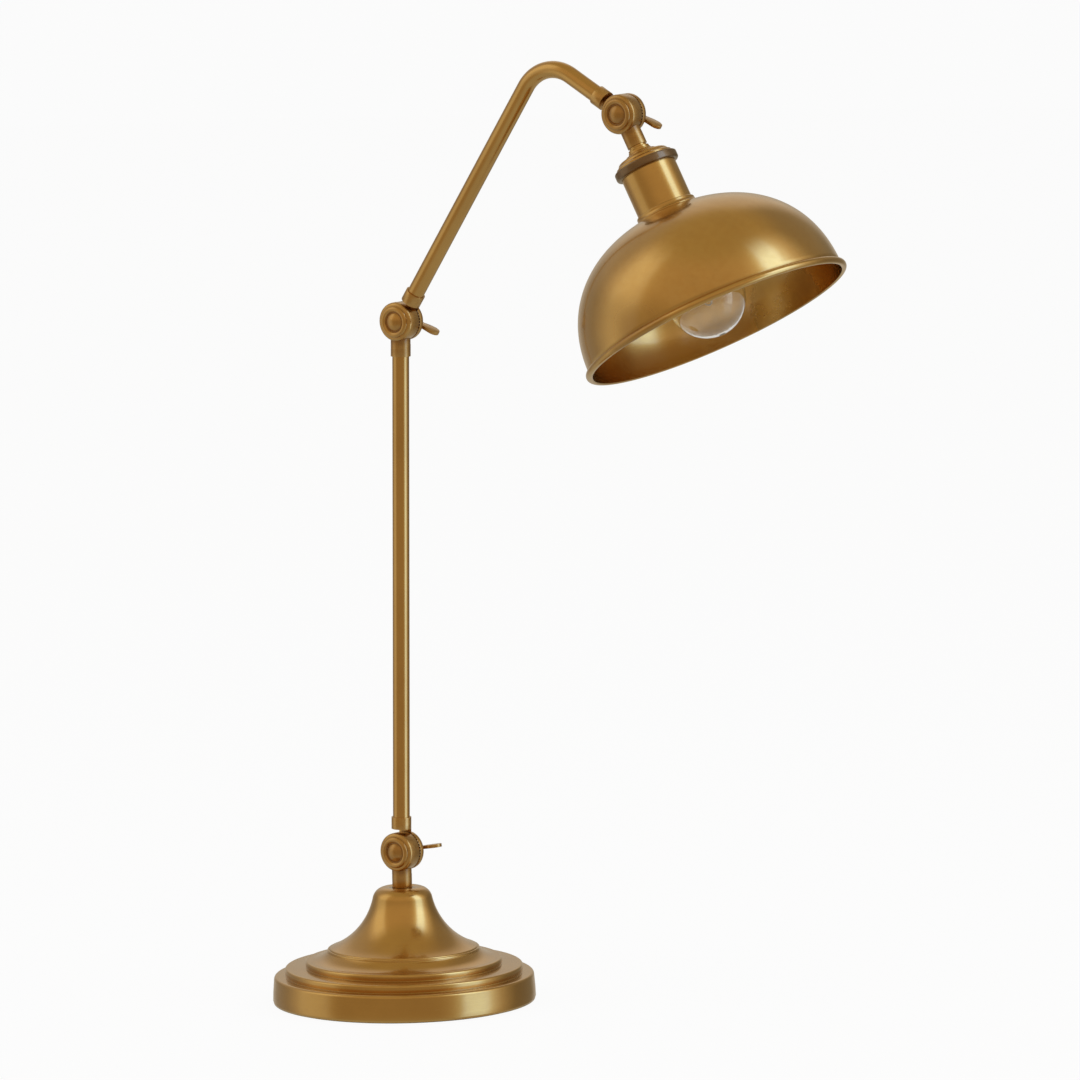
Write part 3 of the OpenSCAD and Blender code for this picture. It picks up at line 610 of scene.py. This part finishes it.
class Recipe:
    """A Geometry Nodes tree with named inputs, made once into a plain mesh."""

    def __init__(self, name, **sizes):
        self.tree = bpy.data.node_groups.new(name, "GeometryNodeTree")
        for size, value in sizes.items():
            kind = "NodeSocketInt" if isinstance(value, int) else "NodeSocketFloat"
            made = self.tree.interface.new_socket(size, in_out="INPUT", socket_type=kind)
            made.default_value = value
        self.tree.interface.new_socket("Geometry", in_out="OUTPUT",
                                       socket_type="NodeSocketGeometry")
        self.entry = self.tree.nodes.new("NodeGroupInput")

    def size(self, name):
        return Wire(self.tree, self.entry.outputs[name])

    def node(self, kind, settings=None, output=0, **values):
        return add_node(self.tree, kind, settings, output, **values)

    def point(self, x, y, z):
        return self.node("ShaderNodeCombineXYZ", X=x, Y=y, Z=z)

    def note(self, shape, name, value, vector=False):
        """Store a value on every point under a name."""
        kind = "FLOAT_VECTOR" if vector else "FLOAT"
        return self.node("GeometryNodeStoreNamedAttribute", {"data_type": kind, "domain": "POINT"},
                         Geometry=shape, Name=name, Value=value)

    def noted(self, name):
        return self.node("GeometryNodeInputNamedAttribute", {"data_type": "FLOAT"}, Name=name)

    def swept(self, path, radius, sides):
        """A round bar along a path, with grain and turn noted for its finish."""
        factor = self.node("GeometryNodeSplineParameter")
        ring = self.note(self.node("GeometryNodeCurvePrimitiveCircle", Resolution=sides,
                                   Radius=radius), "around", factor * (2 * math.pi))
        path = self.note(path, "along", self.node("GeometryNodeSplineParameter", output="Length"))
        bar = self.node("GeometryNodeCurveToMesh", Curve=path, Profile_Curve=ring, Fill_Caps=True)
        around = self.noted("around")
        bar = self.note(bar, "grain", self.point(around.cosine() * 0.01, around.sine() * 0.01,
                                                 self.noted("along")), vector=True)
        return self.note(bar, "turn", 0.0)

    def finish(self, shape, *materials):
        """End the tree. A second material goes where the attribute inner is 1."""
        shape = self.node("GeometryNodeRealizeInstances", Geometry=shape)
        shape = self.node("GeometryNodeSetMaterial", Geometry=shape, Material=materials[0])
        for extra in materials[1:]:
            shape = self.node("GeometryNodeSetMaterial", Geometry=shape, Material=extra,
                              Selection=self.noted("inner"))
        leave = self.tree.nodes.new("NodeGroupOutput")
        self.tree.links.new(shape.socket, leave.inputs[0])

    def make(self, name, place, **sizes):
        """Run the tree with these sizes and return the result as an object in its place."""
        holder = new_object("holder", bpy.data.meshes.new("holder"))
        modifier = holder.modifiers.new("recipe", "NODES")
        modifier.node_group = self.tree
        for socket in self.tree.interface.items_tree:
            if socket.name in sizes:
                modifier[socket.identifier] = sizes[socket.name]
        ready = holder.evaluated_get(bpy.context.evaluated_depsgraph_get())
        mesh = bpy.data.meshes.new_from_object(ready)
        bpy.data.objects.remove(holder)
        mesh.name = name
        mesh.transform(place)
        work = bmesh.new()
        work.from_mesh(mesh)
        bmesh.ops.remove_doubles(work, verts=work.verts, dist=1e-6)
        bmesh.ops.recalc_face_normals(work, faces=work.faces)
        open_edges = sum(1 for e in work.edges if len(e.link_faces) != 2)
        for face in work.faces:
            face.smooth = True
        work.to_mesh(mesh)
        work.free()
        mesh.set_sharp_from_angle(angle=RECIPE_CREASE)
        print(name, len(mesh.polygons), "faces,", open_edges, "open edges")
        return new_object(name, mesh)


print("recipes ready")

# %% [markdown]
# Post and arm are the same drawn tube. Its centre line is a rule in one number, the distance
# walked along it: straight up for the long leg, then round the bend, then straight on along the
# short leg. A post is an arm whose bend is nought.


# %% Tubes
def tube_recipe():
    recipe = Recipe("drawn tube", Start=0.0196, Leg=0.2, Bend=1.5, Bend_Radius=0.03, Tip=0.03,
                    Tube_Radius=0.00635, Points=200)
    start, leg, bend = recipe.size("Start"), recipe.size("Leg"), recipe.size("Bend")
    radius, tip = recipe.size("Bend_Radius"), recipe.size("Tip")
    line = recipe.node("GeometryNodeResampleCurve", Count=recipe.size("Points"),
                       Curve=recipe.node("GeometryNodeCurvePrimitiveLine"))
    whole = leg - start + radius * bend + tip
    walked = start + recipe.node("GeometryNodeSplineParameter") * whole
    turned_by = ((walked - leg) / radius).at_least(0.0).at_most(bend)
    last = (walked - leg - radius * bend).at_least(0.0)
    across = radius * (1.0 - turned_by.cosine()) + last * turned_by.sine()
    up = walked.at_most(leg) + radius * turned_by.sine() + last * turned_by.cosine()
    path = recipe.node("GeometryNodeSetPosition", Geometry=line,
                       Position=recipe.point(across, 0.0, up))
    recipe.finish(recipe.swept(path, recipe.size("Tube_Radius"), 64), DRAWN)
    return recipe


ARM_LEG, BEND_R, TIP_LEG, TUBE_START = 0.215, 0.0305, 0.0535, 0.0196
tube = tube_recipe()
post_len = (mid - low).length
settle(tube.make("post_tube_piece", AT_POST, Start=TUBE_START, Leg=post_len - TUBE_START, Bend=0.0,
                 Tip=0.0, Points=24), "post", ["post_tube"])
settle(tube.make("arm_tube_piece", AT_ARM, Start=TUBE_START, Leg=ARM_LEG, Bend=BEND,
                 Bend_Radius=BEND_R, Tip=TIP_LEG - TUBE_START), "arm",
       ["arm_tube"])

# %% [markdown]
# The head is a stack of turned pieces on one axis, from the coupling down to the shade. The
# outlines give the distance down the axis, so down() turns them over.


# %% Head stack
COUPLING_S, CAP_S, RING_S, CUP_S, COLLAR_S, SHADE_S = 26.4, 29.8, 39.7, 46.3, 76.8, 82.1
CUP_R, CUP_WALL, RING_R, COLLAR_R, SKIRT_R, HOLDER_R = 21.1, 0.9, 24.4, 24.5, 19.0, 16.9
COUPLING_R, COUPLING_RIM_R, SKIRT_H, CUP_LAP, COLLAR_LAP, HOLE_R = 6.6, 8.0, 3.4, 2.2, 2.4, 17.6
PLAY = 0.05


def down(points):
    return [(x, -y) for x, y in points]


def head_piece(name, outline, material, count=160):
    return turned(name + "_piece", rounded(down(outline)), AT_HEAD, "head", material,
                  [name], count)


head_piece("head_coupling", [
    (STEM_R, COUPLING_S), (COUPLING_R, COUPLING_S), (COUPLING_R, CAP_S - 1.9),
    (COUPLING_RIM_R, CAP_S - 1.6), (COUPLING_RIM_R, CAP_S), (STEM_R, CAP_S)],
    ANTIQUE, 96)
head_piece("socket_cap", (
    [(STEM_R, CAP_S), (8.6, CAP_S), (8.8, CAP_S + 1.2), (10.0, CAP_S + 1.9)]
    + arc(15.6, CAP_S + 0.1, 4.6, 150, 84, 8)
    + arc(16.4, CAP_S + 7.9, 3.4, -80, -15, 8)
    + [(CUP_R + 0.6, CAP_S + 8.3), (CUP_R + 0.8, RING_S), (SKIRT_R, RING_S),
       (SKIRT_R, RING_S + SKIRT_H), (SKIRT_R - CUP_WALL, RING_S + SKIRT_H),
       (SKIRT_R - CUP_WALL, RING_S - 2), (14.4, CAP_S + 5.9), (9.0, CAP_S + 3.2),
       (STEM_R, CAP_S + 2.2)]), ANTIQUE)
head_piece("socket_ring", (
    [(SKIRT_R + PLAY, RING_S)] + arc(RING_R - 1.4, RING_S + 1.4, 1.4, -90, 0, 8)
    + arc(RING_R - 2, CUP_S - 2, 2, 0, 90, 8)
    + [(CUP_R + PLAY, CUP_S), (CUP_R + PLAY, CUP_S - CUP_LAP), (SKIRT_R + PLAY, CUP_S - CUP_LAP)]),
    BRONZE)
head_piece("socket_cup", [(CUP_R - CUP_WALL, CUP_S - CUP_LAP), (CUP_R, CUP_S - CUP_LAP),
                          (CUP_R, COLLAR_S), (CUP_R - CUP_WALL, COLLAR_S)],
           ANTIQUE)
head_piece("shade_collar", (
    [(HOLE_R, COLLAR_S - COLLAR_LAP), (CUP_R - CUP_WALL - PLAY, COLLAR_S - COLLAR_LAP),
     (CUP_R - CUP_WALL - PLAY, COLLAR_S), (CUP_R + 1.2, COLLAR_S), (CUP_R + 1.6, COLLAR_S + 0.5),
     (CUP_R + 1.8, COLLAR_S + 2.2), (CUP_R + 2.3, SHADE_S - 1.9)]
    + arc(COLLAR_R - 0.8, SHADE_S - 0.8, 0.8, -60, 90, 8)
    + [(HOLE_R, SHADE_S)]), ANTIQUE)
print("head stack from", COUPLING_S, "to", SHADE_S, "mm below the pivot")

# %% [markdown]
# The shade is a spun dome whose curve is a superellipse, rounder at the shoulder than an
# ellipse, with its rim rolled into a bead. That is a rule, so a flat grid is wrapped into it:
# one way of the grid goes round the axis, and the other walks down the outside of the dome,
# round the bead and back up the inside. Masks of nought and one pick the rule for each stretch.

# %% Shade
SHADE_R, SHADE_H, ROUNDNESS, SHADE_WALL = 100.6, 87.0, 2.25, 1.0
BEAD_R = 2.69  # 0.01 mm under the model's bead, so that the drawn lamp stays in the model's box
DOME_STEPS, BEAD_STEPS = 52, 26
OUTER_GAP, INNER_GAP = 0.0032, 0.0017  # metres from the end of each wall up to the rim's plane
BEAD_OUT = 0.0004  # metres from the dome's radius out to the bead's centre
BEAD_START, BEAD_ROLL = math.radians(-115), math.radians(243)


def shade_recipe():
    recipe = Recipe("spun shade", Radius=0.1, Height=0.09, Flat=0.025, Hole=0.018, Roundness=2.2,
                    Wall=0.001, Bead=0.0027, Top=0.08, Around=256)
    radius, height, wall = recipe.size("Radius"), recipe.size("Height"), recipe.size("Wall")
    top, bead, power = recipe.size("Top"), recipe.size("Bead"), recipe.size("Roundness")
    rim = top + height
    rows = 2 * DOME_STEPS + BEAD_STEPS + 3
    sheet = recipe.node("GeometryNodeMeshGrid", Size_X=1.0, Size_Y=1.0,
                        Vertices_X=recipe.size("Around"), Vertices_Y=rows)
    at = recipe.node("GeometryNodeInputPosition")
    angle = (recipe.node("ShaderNodeSeparateXYZ", Vector=at) + 0.5) * (2 * math.pi)
    row = (recipe.node("ShaderNodeSeparateXYZ", output="Y", Vector=at) + 0.5) * (rows - 1)

    def dome(size, tall, walked, gap):
        """Radius and distance down of the dome's curve, for walked from 0 at its top to 1."""
        first = ((recipe.size("Flat") / size) ** (power / 2.0)).angle_of_cosine()
        full = tall / first.sine() ** (2.0 / power)
        last = ((gap / full) ** (power / 2.0)).angle_of_sine()
        a = first + (last - first) * walked.at_least(0.0).at_most(1.0)
        return size * a.cosine() ** (2.0 / power), rim - full * a.sine() ** (2.0 / power)

    outside = row < DOME_STEPS + 0.5
    past_bead = 1.0 - (row < DOME_STEPS + BEAD_STEPS + 0.5)
    at_hole = 1.0 - (row < 2 * DOME_STEPS + BEAD_STEPS + 0.5)
    in_bead, inside = 1.0 - outside - past_bead, past_bead - at_hole
    closing = 1.0 - (row < rows - 1.5)
    x1, y1 = dome(radius, height, row / DOME_STEPS, OUTER_GAP)
    x2, y2 = dome(radius - wall, height - wall,
                  1.0 - (row - (DOME_STEPS + BEAD_STEPS + 1)) / (DOME_STEPS - 1), INNER_GAP)
    roll = BEAD_START + (row - (DOME_STEPS + 1)) * (BEAD_ROLL / (BEAD_STEPS - 1))
    x3, y3 = radius + BEAD_OUT + bead * roll.cosine(), rim + bead * roll.sine()
    hole = recipe.size("Hole") * (1.0 - closing) + recipe.size("Flat") * closing
    corner = top + wall * (row < rows - 2.5)
    across = x1 * outside + x2 * inside + x3 * in_bead + hole * at_hole
    down_axis = y1 * outside + y2 * inside + y3 * in_bead + corner * at_hole
    shape = recipe.node("GeometryNodeSetPosition", Geometry=sheet, Position=recipe.point(
        across * angle.cosine(), across * angle.sine(), 0.0 - down_axis))
    shape = recipe.note(shape, "grain", recipe.point(
        angle.cosine() * 0.01, angle.sine() * 0.01, across + down_axis), vector=True)
    # painted shade: the crease where the bead meets the dome gets a turn well below nought, so the
    # finish darkens it like any corner, partly patina and partly shade
    crease = 1.0 - (row - DOME_STEPS - 0.5).maths("ABSOLUTE", row - DOME_STEPS - 0.5).at_most(1.0)
    shape = recipe.note(shape, "turn", in_bead * 0.45 - crease * 1.2)
    shape = recipe.note(shape, "inner", past_bead)
    # the inside of the dome gets the darker brass, which is painted shade
    recipe.finish(shape, ANTIQUE, SHADED_INSIDE)
    return recipe


shade = shade_recipe().make(
    "shade_piece", AT_HEAD, Radius=SHADE_R * MM, Height=SHADE_H * MM, Flat=(COLLAR_R + 0.4) * MM,
    Hole=HOLE_R * MM, Roundness=ROUNDNESS, Wall=SHADE_WALL * MM, Bead=BEAD_R * MM,
    Top=SHADE_S * MM)
settle(shade, "head", ["shade"])

# %% [markdown]
# The bulb is a clear globe on a neck, screwed into a moulded lampholder. The model's meshes
# already have these shapes, so most pieces are only joined and smoothed. The filament is a
# wire wound round an arch and the lampholder carries a thread: winding is a rule, so a recipe
# draws each of the two. The thread has no node of its own, and rides on the head as an extra.

# %% Bulb and lampholder
for node, slot, material in (
        ("bulb_glass", "clear_glass", GLASS), ("bulb_stem", "clear_glass", GLASS),
        ("bulb_lead_wires", "wire", WIRE_METAL.material),
        ("bulb_screw_cap", "plain_brass", PLAIN),
        ("bulb_insulator", "phenolic", PHENOLIC.material),
        ("bulb_contact", "solder", SOLDER.material), ("shade_ring_nut", "plain_brass", PLAIN),
        ("lampholder_body", "phenolic", PHENOLIC.material),
        ("lampholder_shell", "plain_brass", PLAIN), ("lampholder_contact", "plain_brass", PLAIN),
        ("head_nipple", "steel", STEEL), ("stem_nipple", "steel", STEEL),
        ("stem_washer", "steel", STEEL), ("stem_nut", "steel", STEEL),
        ("base_weight", "iron", IRON.material), ("felt_pad", "felt", FELT.material),
        ("cord_grommet", "rubber", RUBBER.material)):
    refined(node, material, 0)


def filament_recipe():
    """A fine wire wound round an arch."""
    recipe = Recipe("wound filament", Arch=0.007, Drop=0.149, Coil=0.0004, Turns=40.0,
                    Wire=0.00009)
    line = recipe.node("GeometryNodeResampleCurve", Count=1300,
                       Curve=recipe.node("GeometryNodeCurvePrimitiveLine"))
    walked = recipe.node("GeometryNodeSplineParameter")
    bend, wind = walked * math.pi, walked * recipe.size("Turns") * (2 * math.pi)
    reach = recipe.size("Arch") + recipe.size("Coil") * wind.cosine()
    path = recipe.node("GeometryNodeSetPosition", Geometry=line, Position=recipe.point(
        recipe.size("Coil") * wind.sine(), reach * bend.cosine(),
        0.0 - recipe.size("Drop") - reach * bend.sine()))
    recipe.finish(recipe.swept(path, recipe.size("Wire"), 6), WIRE_METAL.material)
    return recipe


def thread_recipe():
    """A round thread, for a ring nut to run on."""
    recipe = Recipe("thread", Radius=0.0169, Length=0.007, Pitch=0.0016, Ridge=0.0004)
    turns = recipe.size("Length") / recipe.size("Pitch")
    path = recipe.node("GeometryNodeCurveSpiral", Resolution=64, Rotations=turns,
                       Start_Radius=recipe.size("Radius"), End_Radius=recipe.size("Radius"),
                       Height=recipe.size("Length"))
    recipe.finish(recipe.swept(path, recipe.size("Ridge"), 8), PHENOLIC.material)
    return recipe


FILAMENT_R, FILAMENT_S, COIL_R, THREAD_S = 7, 148.95, 0.42, 95.8
settle(filament_recipe().make("filament_piece", AT_HEAD, Arch=FILAMENT_R * MM,
                              Drop=FILAMENT_S * MM, Coil=COIL_R * MM),
       "head", ["bulb_filament"])
settle(thread_recipe().make("holder_thread", AT_HEAD @ Matrix.Translation((0, 0, -THREAD_S * MM)),
                            Radius=(HOLDER_R - PLAY) * MM), "head")
print("bulb and lampholder in place")

# %% [markdown]
# The picture is taken from far away through a long lens, a little above the table. The aim
# point and the roll come from the outlines of the base, the pivots and the rim.

# %% Camera
CAMERA_AT = Vector((3.83080, -5.18233, 1.17743))
AIM = Vector((0.08690, 0.06607, 0.34853))
ROLL = math.radians(-1.106)
LENS = 288.12

back = (CAMERA_AT - AIM).normalized()
level = Vector((0, 0, 1)).cross(back).normalized()
upright = back.cross(level)
right = level * math.cos(ROLL) + upright * math.sin(ROLL)
lens = bpy.data.cameras.new("camera")
lens.lens, lens.sensor_width = LENS, 36.0
lens.clip_start, lens.clip_end = 0.5, 200.0
camera = bpy.data.objects.new("camera", lens)
scene.collection.objects.link(camera)
turn_to = Matrix((right, back.cross(right), back)).transposed().to_4x4()
camera.matrix_world = Matrix.Translation(CAMERA_AT) @ turn_to
scene.camera = camera
print("camera", [round(v, 3) for v in CAMERA_AT], "lens", LENS)

# %% [markdown]
# The studio is pale. The floor and the sky look white to the camera, and the light that falls
# on the lamp comes from a soft sky and a few large lamps. Polished brass shows what stands
# round it, though, and a white room would wash it out. So a tent that only reflections see
# goes right round the lamp, and the floor is hidden from reflections: the brass shows the tent
# in place of the white, while the glass shows the white. The tent is warm in front, with a
# narrow bright window at the right and dimmer walls beyond it and behind. Its colour is a ramp
# over the direction from the camera's side.


# %% Studio
def sees(tree):
    """1 for camera, glossy and transmission rays, which get plain white where they meet it."""
    path = tree.nodes.new("ShaderNodeLightPath")
    outs = [Wire(tree, path.outputs[n]) for n in
            ("Is Camera Ray", "Is Glossy Ray", "Is Transmission Ray")]
    return (outs[0] + outs[1] + outs[2]).at_most(1.0)


def make_world(white=1.0, ambient=0.55):
    world = bpy.data.worlds.new("pale studio")
    world.use_nodes = True
    tree = world.node_tree
    background = tree.nodes["Background"]
    connect(tree, background.inputs["Color"], colour(1, 1, 1))
    connect(tree, background.inputs["Strength"], sees(tree) * (white - ambient) + ambient)
    scene.world = world


def make_floor(size=80.0, keep=0.93):
    mesh = bpy.data.meshes.new("floor")
    half, under = size / 2, -0.0002
    mesh.from_pydata([(-half, -half, under), (half, -half, under), (half, half, under),
                      (-half, half, under)], [], [(0, 1, 2, 3)])
    floor = new_object("floor", mesh)
    finish = Finish("pale floor", Base_Color=colour(0.86, 0.86, 0.85), Roughness=0.9)
    glow = finish.node("ShaderNodeEmission", Color=colour(1, 1, 1), Strength=1.0)
    mix = finish.tree.nodes.new("ShaderNodeMixShader")
    connect(finish.tree, mix.inputs[0], sees(finish.tree) * keep)
    finish.tree.links.new(finish.shader.outputs[0], mix.inputs[1])
    connect(finish.tree, mix.inputs[2], glow)
    finish.tree.links.new(mix.outputs[0], finish.tree.nodes["Material Output"].inputs["Surface"])
    mesh.materials.append(finish.material)
    floor.visible_glossy = False


view_angle = math.atan2(back.x, -back.y)
CENTRE = Vector((0.16, 0.0, 0.38))
WARM, DIM, BLIND = (0.40, 0.30, 0.155), (0.22, 0.18, 0.11), (0.32, 0.27, 0.19)
WINDOW, BEHIND, BELOW = (1.10, 1.45, 1.75), (0.46, 0.40, 0.31), (0.46, 0.43, 0.31)
ROUND_THE_LAMP = [
    (-180, BEHIND), (-165, BEHIND), (-150, BLIND), (-125, BLIND),
    (-108, (0.5, 0.43, 0.3)), (-100, (0.66, 0.60, 0.42)), (-72, (0.66, 0.60, 0.42)),
    (-64, (0.42, 0.32, 0.17)), (-55, WARM), (30, WARM), (40, (0.44, 0.34, 0.18)),
    (50, (0.55, 0.47, 0.28)), (56, WINDOW), (78, WINDOW),
    (84, (0.75, 0.75, 0.65)), (95, (0.5, 0.42, 0.27)), (108, (0.3, 0.25, 0.15)), (115, DIM),
    (150, DIM), (165, BEHIND), (180, BEHIND)]


def make_tent(radius=8.5):
    """A ball round the lamp and the camera, seen by reflections alone."""
    work = bmesh.new()
    bmesh.ops.create_uvsphere(work, u_segments=48, v_segments=24, radius=radius)
    mesh = bpy.data.meshes.new("tent")
    work.to_mesh(mesh)
    work.free()
    finish = Finish("tent")
    here = finish.place()
    x, y, z = (finish.node("ShaderNodeSeparateXYZ", output=n, Vector=here) for n in "XYZ")
    sideways = x * math.cos(view_angle) + y * math.sin(view_angle)
    forward = x * math.sin(view_angle) - y * math.cos(view_angle)
    turn_by = sideways.maths("ARCTAN2", sideways, forward) / (2 * math.pi) + 0.5
    walls = finish.node("ShaderNodeValToRGB", {"stops": [
        (angle / 360 + 0.5, colour(*shade_of)) for angle, shade_of in ROUND_THE_LAMP]},
                        Fac=turn_by)
    height = z / radius
    upper = finish.node("ShaderNodeVectorMath", {"operation": "SCALE"}, Vector=walls,
                        Scale=1.0 + finish.steps(height, 0.15, 0.45) * 0.4)
    above = finish.blend(finish.steps(height, 0.72, 0.93), upper, colour(0.46, 0.36, 0.17))
    glow = finish.node("ShaderNodeEmission", Strength=1.0, Color=finish.blend(
        finish.steps(0.0 - height, 0.25, 0.65), above, colour(*BELOW)))
    finish.tree.links.new(glow.socket, finish.tree.nodes["Material Output"].inputs["Surface"])
    mesh.materials.append(finish.material)
    tent = new_object("tent", mesh)
    tent.visible_camera = tent.visible_diffuse = tent.visible_shadow = False
    tent.visible_transmission = tent.visible_volume_scatter = False


def softbox(name, degrees, height, distance, size, radiance):
    """A large lamp, by its angle to the right of the camera, height and distance."""
    data = bpy.data.lights.new(name, "AREA")
    data.shape, data.size, data.size_y = "RECTANGLE", size[0], size[1]
    data.energy = radiance * math.pi * size[0] * size[1]
    lamp = bpy.data.objects.new(name, data)
    scene.collection.objects.link(lamp)
    a = view_angle + math.radians(degrees)
    lamp.location = CENTRE + Vector((math.sin(a) * distance, -math.cos(a) * distance, height))
    lamp.rotation_mode = "QUATERNION"
    lamp.rotation_quaternion = (lamp.location - CENTRE).to_track_quat("Z", "Y")
    lamp.visible_glossy = False


make_world()
make_floor()
make_tent()
softbox("right strip", 72, 0.7, 2.4, (0.75, 2.2), 2.2)
softbox("left wide", -72, 0.6, 2.6, (1.5, 2.0), 1.2)
softbox("high soft", 10, 2.6, 1.2, (1.6, 1.6), 1.2)

# %% [markdown]
# Standard view transform keeps each colour about as it is written.

# %% View and closing lines
scene.view_settings.view_transform = "Standard"
